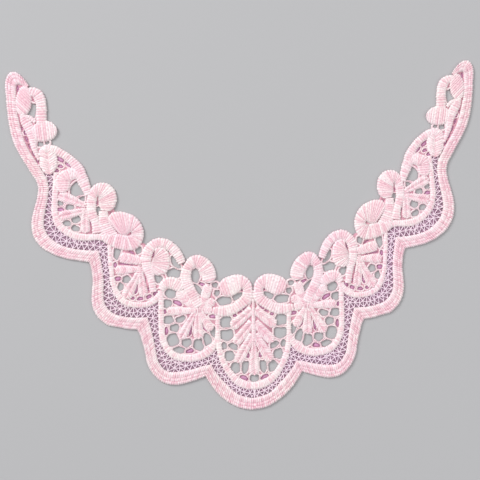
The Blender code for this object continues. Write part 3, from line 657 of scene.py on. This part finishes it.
WEB_EDGE = {
    "centre": [(28.5, 71), (31, 80), (31, 88), (28, 91.2), (24.5, 90.6), (22, 89.5), (16, 91), (10, 92),
        (4.5, 90), (2, 86), (0.6, 82)],
    "1": [(68.4, 87), (69.1, 91.5), (70.3, 98), (66, 106), (60, 112), (54, 114.4), (50.8, 109),
        (49, 104.5), (46, 100.5), (44.4, 103), (40.3, 105), (35.4, 103), (32, 98.8), (31, 88), (31, 80),
        (28.5, 71), (25, 67.5), (24.9, 58)],
    "2": [(93, 122), (89.5, 121), (83, 120.8), (79, 121.5), (74, 120.5), (69.8, 116.6), (64, 119.4),
        (58, 117), (60, 112), (66, 106), (70.3, 98), (69.1, 91.5), (68.2, 86)],
    "3": [(131.5, 167), (125, 165), (121, 168.5), (116, 168), (113.5, 163), (110.8, 158),
        (107.5, 158.5), (104, 160), (99.6, 161), (95, 159), (93, 152), (94.5, 146.5), (92, 142),
        (88, 139), (81, 135.3), (78, 129.8), (78.6, 124), (83, 120.5), (89.5, 120.7), (95.5, 122.9)],
    "arm": [(132, 172), (137, 174.5), (143, 176), (145.1, 179.8), (149, 186.7), (152.3, 194),
        (154.9, 203), (157.3, 214), (158.3, 224), (158, 231), (155, 234), (151.5, 232), (147.2, 228),
        (142.8, 225.6), (140.5, 220), (140.3, 214), (140.4, 207), (134, 203), (132.5, 198),
        (135.5, 194.2), (136.5, 191.5), (133.2, 187.6), (127.3, 184.1), (122.1, 179.5), (117.9, 173.6),
        (116, 168), (121, 168.5), (125, 165), (131.5, 167)],
}
# out, up, half_width, half_height, turn
OPENINGS = {
    "centre": [(11, 79.9, 4, 2, -27), (8, 84.4, 2, 0.6, 38), (20, 77.1, 5.2, 2.9, 0),
        (4.6, 73.6, 4.7, 1, -48), (9.3, 69.1, 1.2, 0.6, -15), (13, 66.7, 1.3, 1.1, -20),
        (19.3, 62.5, 4.2, 4.2, 0), (19, 53.3, 5, 3.9, 0), (14.4, 45.1, 3.4, 2, 30),
        (20.8, 45.8, 1.9, 2.6, 0), (17.1, 38.5, 3.6, 3.6, 0), (13.3, 30, 3.6, 3.8, 20),
        (6.4, 30.4, 2.5, 4.3, 8), (4.4, 38.5, 1.1, 2, 0), (2.9, 44.9, 0.6, 2.9, 15),
        (7, 23, 3.1, 1.3, 25), (0, 22.2, 3.2, 2.6, 0), (26.5, 88.2, 2, 1.8, 0),
        (25.2, 82.6, 1.9, 2.1, 10)],
    "1": [(40.2, 95.4, 3.2, 5, -12), (38.1, 86, 4.8, 1.6, 52), (35.4, 89.2, 2.4, 1, 25),
        (53, 105.2, 2.1, 5.5, -28), (54.3, 98.3, 4.9, 3.4, 0), (64.8, 95.3, 2.4, 3.6, -30),
        (56.6, 84.3, 3.7, 3.6, 0), (58.9, 77.2, 2.9, 3.5, 0), (52.1, 77.4, 3.4, 1.4, 30),
        (45.6, 82.2, 2.6, 0.5, 55), (60.8, 72.2, 1.1, 1.8, 0), (58.5, 66, 3.5, 2.9, 0),
        (50.2, 66, 3.4, 2.1, -20), (54.3, 60.2, 3.1, 2.8, 0), (59.9, 58.2, 1.1, 2.8, 0),
        (55.9, 51.6, 4.3, 4.7, 0), (46.4, 49.3, 3.4, 3.1, 0), (51.6, 44.6, 3.9, 2.5, 12),
        (44.3, 43.5, 3, 1.44, -10), (38.1, 47.5, 3.7, 4.3, 0), (32.3, 50.8, 3.1, 4.2, 0),
        (28.1, 55.9, 2.2, 4, -8), (43.6, 59, 1, 5, 3), (34, 59.4, 3.6, 1.1, 57),
        (27.9, 66.8, 2.6, 1.44, 0)],
    "2": [(91.9, 114.8, 2.2, 4.5, 12), (82.3, 114.5, 2, 0.6, 32), (77.7, 115.8, 2.1, 2.6, 0),
        (87.4, 106.7, 3.5, 0.5, 8), (82.4, 105.8, 1, 0.5, 0), (93.4, 106.4, 1.1, 1.8, 0),
        (91.9, 96.8, 2.3, 1.44, 0), (86.1, 95.9, 2.9, 2.6, 0), (90.2, 91.1, 2, 2.9, 15),
        (79.9, 89, 1.1, 3.5, 8), (82.2, 82.8, 1.3, 1, 0), (77.2, 82.1, 2.1, 1.1, -5),
        (71.2, 83.2, 2, 1.2, -25), (66.3, 85.8, 3, 1.2, -38), (67.8, 112.8, 0.7, 2.8, 0),
        (74.4, 100.6, 0.5, 2.4, 5), (73.6, 94.6, 0.5, 1.8, 8), (71.7, 88, 0.7, 1.6, 30)],
    "3": [(117.6, 159.3, 5.2, 4.8, 0), (114.8, 153.2, 1.9, 2, 0), (128.9, 150.9, 2, 2, 0),
        (122.8, 147.5, 2.8, 1.9, 0), (128.7, 146.3, 2.2, 1.3, 10), (118.9, 139.5, 3, 3.1, 0),
        (124.9, 136.5, 3.2, 2, 0), (119.2, 132.9, 3, 1.9, 28), (108.7, 135.8, 3.6, 0.6, 64),
        (106.6, 130.1, 1.1, 0.5, -5), (103.9, 143.9, 2.2, 3.2, 0), (105.1, 150, 0.7, 1.6, 0),
        (95.4, 142.3, 0.9, 0.6, 0), (96.4, 137.2, 0.5, 3.2, 14), (93.6, 131.5, 3.7, 0.5, 45)],
    "arm": [(147, 214.2, 3.2, 6, 8), (155.7, 229.6, 0.7, 2.4, -6), (153.5, 203.1, 0.6, 1.2, 0),
        (151.3, 200.4, 1, 1.8, -20), (148.3, 206.8, 0.6, 1, 0), (141.3, 192.2, 2.1, 2.1, 0),
        (137.2, 192.3, 1.5, 1.6, 0), (129.8, 181, 4, 1.2, 36), (129, 175.8, 1.7, 1, 20),
        (123.4, 176.2, 3.2, 1, 34), (131.4, 173, 1.3, 1.2, 0), (150.6, 195.8, 0.7, 1.9, -20),
        (148.6, 190.6, 0.6, 1.9, -24), (146.2, 185.5, 0.6, 1.8, -26), (143.8, 180.6, 0.6, 1.8, -28)],
}
NET_END = 178.0                         # how far up the arm the net goes
NET_SPACING, NET_ROOM = 3.8, 2.6        # between knots along an edge, and round each inside it
KNOT_STRAY = 0.6
NET_THREAD, NET_HEIGHT, NET_OVERLAP = 0.34, 0.75, 0.3
STRAND_STEP, PLY_TWIST, PLY_DEPTH, KNOT_SWELL, SAG, BEND = 0.5, 2.2, 0.22, 0.4, 0.12, 0.12
TULLE_SPACING, TULLE_THREAD = 1.0, 0.5
# The tulle under the net and the plates in the small openings take colours near the net thread's painted
# groove shade: painted shade, darker in the small openings
TULLE_TOP, TULLE_UNDER, SHADE_TULLE_LIFT = 0.3, 0.24, 0.46
PATCH_TOP, PATCH_UNDER, SHADE_PATCH_LIFT = 0.35, 0.15, 0.24
# The web takes a low place on the satin thread's colour ramp: painted shade between the raised satin
WEB_TOP, WEB_UNDER, WEB_SHADE_LIFT = 0.8, 0.05, 0.26
# The whipped rims' colours are lifted towards the painted highlight end of the ramp
RIM_WIDTH, RIM_STITCH, RIM_HEIGHT, RIM_LIFT = 1.5, 0.9, 1.35, 0.3
RIM_WORK = dict(bite=0.12, groove=0.2, shoulder=0.6, fill=0.75, rim=0.15)
RIM_FROM = 0.7                          # half the width of the narrowest opening with a rim
TULLE_BELOW = 1.45                      # half the width of the broadest opening filled with painted shade
BAR_WIDTH = 1.1                         # the least that is left between two openings
LOZENGE, RAGGED = 2.5, (0.07, 0.06)     # how square an opening is, and how uneven its edge


def run_of(line):
    """How far along a line each of its points is."""
    return np.concatenate([[0.0], np.cumsum(np.hypot(*np.diff(line, axis=0).T))])


def inside(points, outline):
    """Which points lie inside a closed outline."""
    hit = np.zeros(len(points), bool)
    for (x0, y0), (x1, y1) in zip(outline, np.roll(outline, -1, 0)):
        spans = (y0 > points[:, 1]) != (y1 > points[:, 1])
        cross = x0 + (points[:, 1] - y0) * (x1 - x0) / (y1 - y0 if y1 != y0 else 1e-9)
        hit ^= spans & (points[:, 0] < cross)
    return hit


def apart(points, others):
    """How far each point is from each of the others."""
    return np.hypot(points[:, None, 0] - others[:, 0], points[:, None, 1] - others[:, 1])


def triangles(points, loops):
    """Points joined into triangles, which keep to the closed loops of these lengths among them."""
    edges, base = [], 0
    for length in loops:
        edges += [(base + at, base + (at + 1) % length) for at in range(length)]
        base += length
    found = delaunay_2d_cdt([Vector(point) for point in points], edges, [], 1, 1e-4)
    return np.array([tuple(point) for point in found[0]]), np.array(found[2])


def cord_edge(name, keep):
    """The edge of a cord that the net is worked into, where keep is true."""
    rails = column_rails(CORDS[name])
    middle = (rails[:, :2] + rails[:, 2:]) / 2
    edge = rails[:, 2:] + (middle - rails[:, 2:]) * NET_OVERLAP
    return edge[[keep(*point) for point in edge]]


def across_net(points):
    """How far along the cords the nearest place to each point is."""
    return [cord_run[np.hypot(*(net_cord - point).T).argmin()] for point in points]


# The net's outer edge runs along the border. Its inner edge runs along the four cords and
# turns the corners between them.
net_rail = np.vstack([smooth(rows)[:-1, 2:] for rows in BORDER.values()])
net_rail = net_rail[net_rail[:, 1] < NET_END]
net_cord = np.vstack([
    cord_edge("cord_centre", lambda out, up: up < 42.5), [(27.0, 44.2)],
    cord_edge("cord_1", lambda out, up: (out > 29.0 or up < 42.0) and up < 81.0), [(65.3, 82.5)],
    cord_edge("cord_2", lambda out, up: out > 67.0 and up < 119.5), [(98.6, 121.5)],
    cord_edge("cord_3", lambda out, up: out > 106.0), [(136.5, 176.0)]])
rail_run, cord_run = run_of(net_rail), run_of(net_cord)
count = max(1, round(rail_run[-1] / NET_SPACING))
rail_nodes = along(net_rail, rail_run, (np.arange(count) + 0.5) * rail_run[-1] / count)
facing = across_net(rail_nodes)
places = [facing[0]]
for place in facing[1:]:
    gap = place - places[-1]
    if gap > 0.6 * NET_SPACING:
        parts = max(1, round(gap / NET_SPACING))
        places += [places[-1] + gap * part / parts for part in range(1, parts + 1)]
cord_nodes = along(net_cord, cord_run, places)
outline = np.vstack([[net_rail[0]], rail_nodes, [net_rail[-1]], cord_nodes[::-1], [net_cord[0]],
                     [(0.0, 12.0)]])
on_border = set(range(len(rail_nodes) + 2))
on_cords = set(range(len(rail_nodes) + 2, len(outline) - 1))

# The knots inside the net keep a room of their own, as even as it goes, and then stray a little.
grid = np.stack(np.meshgrid(np.arange(0.0, 146.0, 0.5), np.arange(8.0, 180.0, 0.5)), -1).reshape(-1, 2)
grid = grid[inside(grid, outline)]
distance = apart(grid, outline).min(1)
free = []
while distance.max() > NET_ROOM:
    free.append(grid[distance.argmax()])
    distance = np.minimum(distance, np.hypot(*(grid - free[-1]).T))
for _ in range(2):
    nearest = apart(grid, np.vstack([free, outline])).argmin(1)
    free = np.array([grid[nearest == at].mean(0) for at in range(len(free))])
nodes = np.vstack([outline, free + rng.uniform(-KNOT_STRAY, KNOT_STRAY, free.shape)])
nodes, faces = triangles(nodes, [len(outline)])
links = {tuple(sorted(edge)) for face in faces for edge in zip(face, np.roll(face, -1))
         if not (set(edge) <= on_border or set(edge) <= on_cords)}


def net_strand(a, b):
    """A thread of the net: two plies twisted round each other, on its way from node to node."""
    length = np.hypot(*(b - a))
    way = (b - a) / length
    across = np.array([-way[1], way[0]])
    count = max(4, round(length / STRAND_STEP))
    place = np.linspace(-0.25, length + 0.25, count + 1)
    angles = np.arange(6) / 6 * 2 * np.pi
    twist = place * PLY_TWIST + rng.uniform(0, 6.3)
    to_knot = np.minimum(np.abs(place), np.abs(length - place))[:, None]
    radius = NET_THREAD * (1 + PLY_DEPTH * np.cos(2 * (angles - twist[:, None]))
                           + KNOT_SWELL * np.exp(-to_knot / 0.6))
    bow = np.sin(np.clip(place / length, 0, 1) * np.pi)[:, None]
    offset = radius * np.cos(angles) + rng.normal(0, BEND) * bow
    height = NET_HEIGHT - SAG * bow + radius * np.sin(angles)
    xy = a + way * place[:, None, None] + across * offset[..., None]
    uv = np.stack([offset * 2, np.broadcast_to(place[:, None], offset.shape)], -1)
    # Painted shade and highlight: each ply is paler on top and darker underneath, as the light from
    # above falls on it
    shade_and_tone = 0.55 + 0.55 * np.sin(angles) * np.ones_like(radius)
    return loft(np.concatenate([xy, np.maximum(height, FOOT)[..., None]], -1), uv, shade_and_tone)


def shade_tulle(outline):
    """A mauve tulle under the net, of flat threads both ways cut off at its outline: painted shade, for
    the shade seen through the net.
    """
    bodies = []
    for way in (np.array([0.8, 0.6]), np.array([-0.6, 0.8])):
        across = np.array([-way[1], way[0]])
        level, run = outline @ across, outline @ way
        for at in np.arange(level.min(), level.max(), TULLE_SPACING):
            cuts = []
            for l0, l1, r0, r1 in zip(level, np.roll(level, -1), run, np.roll(run, -1)):
                if (l0 > at) != (l1 > at):
                    cuts.append(r0 + (r1 - r0) * (at - l0) / (l1 - l0))
            cuts.sort()
            for low, high in zip(cuts[::2], cuts[1::2]):
                ends = np.array([across * at + way * place for place in (low, high)])
                ring = [across * TULLE_THREAD * side for side in (-0.5, 0.5, 0.5, -0.5)]
                xy = ends[:, None] + ring
                z = np.broadcast_to([TULLE_TOP, TULLE_TOP, TULLE_UNDER, TULLE_UNDER], (2, 4))
                bodies.append(loft(np.concatenate([xy, z[..., None]], -1), xy,
                                   np.full((2, 4), SHADE_TULLE_LIFT)))
    return bodies


def shade_patch(rails):
    """A flat mauve plate in a small opening of the web, darker than the tulle: painted shade in the
    opening.
    """
    loop = rails[2:-1, :2]
    rings = np.stack([np.column_stack([loop, np.full(len(loop), z)]) for z in (PATCH_TOP, PATCH_UNDER)])
    return loft(rings, rings[..., :2], np.full(rings.shape[:2], SHADE_PATCH_LIFT))


def outside(points, opening):
    """How far points lie outside the edge of an opening, which is a rounded lozenge."""
    away = (points - opening[:2]) @ turning(opening[4])
    level = (np.abs(away / opening[2:4]) ** LOZENGE).sum(-1) ** (1 / LOZENGE)
    return np.hypot(*away.T) * (1 - 1 / np.maximum(level, 1e-6))


def opening_rails(opening, openings):
    """The edge of an opening and the outer edge of the thread round it. Where another opening
    is close, both edges keep to their own side of the bar between them."""
    angle = np.radians(np.arange(-10.0, 371.0, 7.5))
    way = np.stack([np.cos(angle) * opening[2], np.sin(angle) * opening[3]], 1) @ turning(-opening[4])
    way /= np.hypot(*way.T)[:, None]
    middle = np.array(opening[:2])
    reach = 10 - outside(middle + way * 10, opening)
    reach *= (1 + RAGGED[0] * np.sin(3 * angle + 5 * middle[0])
              + RAGGED[1] * np.sin(5 * angle + 3 * middle[1]))
    near = [other for other in openings if other is not opening
            and np.hypot(*(middle - other[:2])) < max(opening[2:4]) + max(other[2:4]) + 3]
    width = min(RIM_WIDTH, 0.6 + 0.8 * min(opening[2:4]))
    inner, outer = reach.copy(), reach + width
    for other in near:
        for _ in range(20):
            gap = outside(middle + way * inner[:, None], other)
            inner -= np.where((gap + reach - inner < BAR_WIDTH) & (inner > 0.4), 0.1, 0)
            gap = outside(middle + way * outer[:, None], other)
            outer -= np.where((gap < outer - reach - 0.2) & (outer > inner + 0.4), 0.1, 0)
    return np.hstack([middle + way * inner[:, None], middle + way * outer[:, None]])


def web(outline, openings):
    """The close web of a panel: a thin flat sheet of stitches with its openings left out."""
    loops = [outline] + [rails[2:-1, :2] for rails in openings]
    flat, faces = triangles(np.vstack(loops), [len(loop) for loop in loops])
    middles = flat[faces].mean(1)
    kept = inside(middles, outline)
    for loop in loops[1:]:
        kept &= ~inside(middles, loop)
    faces = faces[kept]
    edges = {edge for face in faces for edge in zip(face, np.roll(face, -1))}
    rim = np.array(sorted(edge for edge in edges if edge[::-1] not in edges))
    points = np.vstack([np.column_stack([flat, np.full(len(flat), z)]) for z in (WEB_TOP, WEB_UNDER)])
    below = len(flat)
    walls = np.stack([rim[:, 1], rim[:, 0], rim[:, 0] + below, rim[:, 1] + below], 1)
    # Painted shade: the web sits low on the satin thread's colour ramp
    return {"points": points, "uv": points[:, :2] * (1.0, 0.8), "shade_and_tone": np.full(len(points), WEB_SHADE_LIFT),
            "faces": [faces, faces[:, ::-1] + below, walls], "thread": 1}


def opening_rim(rails):
    """The thread that is whipped round the edge of an opening."""
    rim = stitched(rails, RIM_STITCH, RIM_HEIGHT, **RIM_WORK)
    # Its colour is lifted towards the painted highlight end of the ramp
    return dict(rim, thread=1, shade_and_tone=RIM_LIFT + (1 - RIM_LIFT) * rim["shade_and_tone"])


# Finer thread for the net, a shade cooler and more lilac than the satin
net_thread = thread_material("pink_net_thread", groove_shade=(176, 104, 160), body=(246, 206, 232),
                             crest_highlight=(255, 246, 252), cream=(255, 250, 248), blush=(252, 242, 252),
                             strands=1, relief=0.5)
panel_of_rail = np.concatenate([[part] * (len(smooth(rows)) - 1) for part, rows in BORDER.items()])
strands = {part: [] for part in BORDER}
for edge in sorted(links):
    a, b = nodes[edge[0]], nodes[edge[1]]
    nearest = np.hypot(*(net_rail - (a + b) / 2).T).argmin()
    strands[panel_of_rail[nearest]].append((a, b))

# Each panel in turn: its outline, the edge of its web and its openings
cord_places = across_net(net_rail)
for at, part in enumerate(BORDER):
    rail = smooth(BORDER[part], OUTLINE_STEP)[:, 2:]
    seam_before = PANEL_SEAM[list(BORDER)[at - 1]] if at else []
    panel = np.array([*rail, *PANEL_SEAM.get(part, [])[::-1], *NECK_EDGE[part][::-1], *seam_before])
    edge = [row[:2] for row in CORDS.get(f"cord_{part}", [])] + WEB_EDGE[part]
    openings = OPENINGS[part]

    # The panel's own stretch of net, and under it the mauve tulle of painted shade, from the border to
    # the cord across
    threads = [net_strand(*ends) for ends in strands[part]]
    own = np.flatnonzero(panel_of_rail[:len(net_rail)] == part)
    own = np.arange(own[0], min(own[-1] + 2, len(net_rail)))
    far = np.linspace(cord_places[own[0]], cord_places[own[-1]], 80)
    threads += shade_tulle(np.vstack([net_rail[own], along(net_cord, cord_run, far)[::-1]]))
    if part == "centre":
        threads += [dict(body, points=body["points"] * (-1, 1, 1)) for body in threads]
        edge = both_halves(edge, [0])
        openings = openings + [(-row[0], *row[1:4], -row[4]) for row in openings if row[0]]
        panel = both_halves(panel[::-1], [0])

    # The web with its openings, a thread round the larger ones and a mauve plate of painted shade in the
    # smaller ones
    rims = [opening_rails(row, openings) for row in openings]
    threads.append(web(np.array(edge), rims))
    threads += [opening_rim(rails) for rails, row in zip(rims, openings) if min(row[2:4]) > RIM_FROM]
    threads += [shade_patch(rails) for rails, row in zip(rims, openings) if min(row[2:4]) < TULLE_BELOW]

    for side in sides(part):
        ground = sewn(f"ground_{part}", threads, side, [net_thread, satin_thread])

# ------------------------------------- table, light, camera
# The collar lies on a plain pale table, under a soft light from the upper left, and the camera
# looks straight down on it through a long lens.

VIEW_WIDTH = 0.3366
LENS, SENSOR = 85.0, 36.0
LOOK_AT = ((-5.27 - MIDDLE[0]) * MM, (119.37 - MIDDLE[1]) * MM)
VIEW_UP = (0.0471, 0.9989)
ROOM_LIGHT = 0.56

bpy.ops.mesh.primitive_plane_add(size=4.0)
table = bpy.context.object
table.name = "table"
table_material = bpy.data.materials.new("pale_table")
table_material.use_nodes = True
table_shader = table_material.node_tree.nodes["Principled BSDF"]
table_shader.inputs["Base Color"].default_value = linear(178, 178, 180)
table_shader.inputs["Roughness"].default_value = 0.9
table.data.materials.append(table_material)


def soft_light(name, place, size, power):
    """A square soft light that faces the collar."""
    light = bpy.data.lights.new(name, "AREA")
    light.size = size
    light.energy = power
    lamp = bpy.data.objects.new(name, light)
    lamp.location = place
    lamp.rotation_euler = Vector(place).to_track_quat("Z", "Y").to_euler()
    bpy.context.scene.collection.objects.link(lamp)


soft_light("key", (-1.5, 1.4, 1.5), 1.0, 49.0)
soft_light("fill", (0.9, -0.3, 0.9), 0.9, 4.4)
world = bpy.data.worlds.new("studio")
world.use_nodes = True
world.node_tree.nodes["Background"].inputs["Color"].default_value = (1.0, 1.0, 1.0, 1.0)
world.node_tree.nodes["Background"].inputs["Strength"].default_value = ROOM_LIGHT
scene = bpy.context.scene
scene.world = world
scene.view_settings.view_transform = "Standard"

camera_data = bpy.data.cameras.new("camera")
camera_data.lens = LENS
camera_data.sensor_width = SENSOR
camera = bpy.data.objects.new("camera", camera_data)
camera.location = (*LOOK_AT, VIEW_WIDTH * LENS / SENSOR)
camera.rotation_euler = (0.0, 0.0, -np.arctan2(*VIEW_UP))
scene.collection.objects.link(camera)
scene.camera = camera
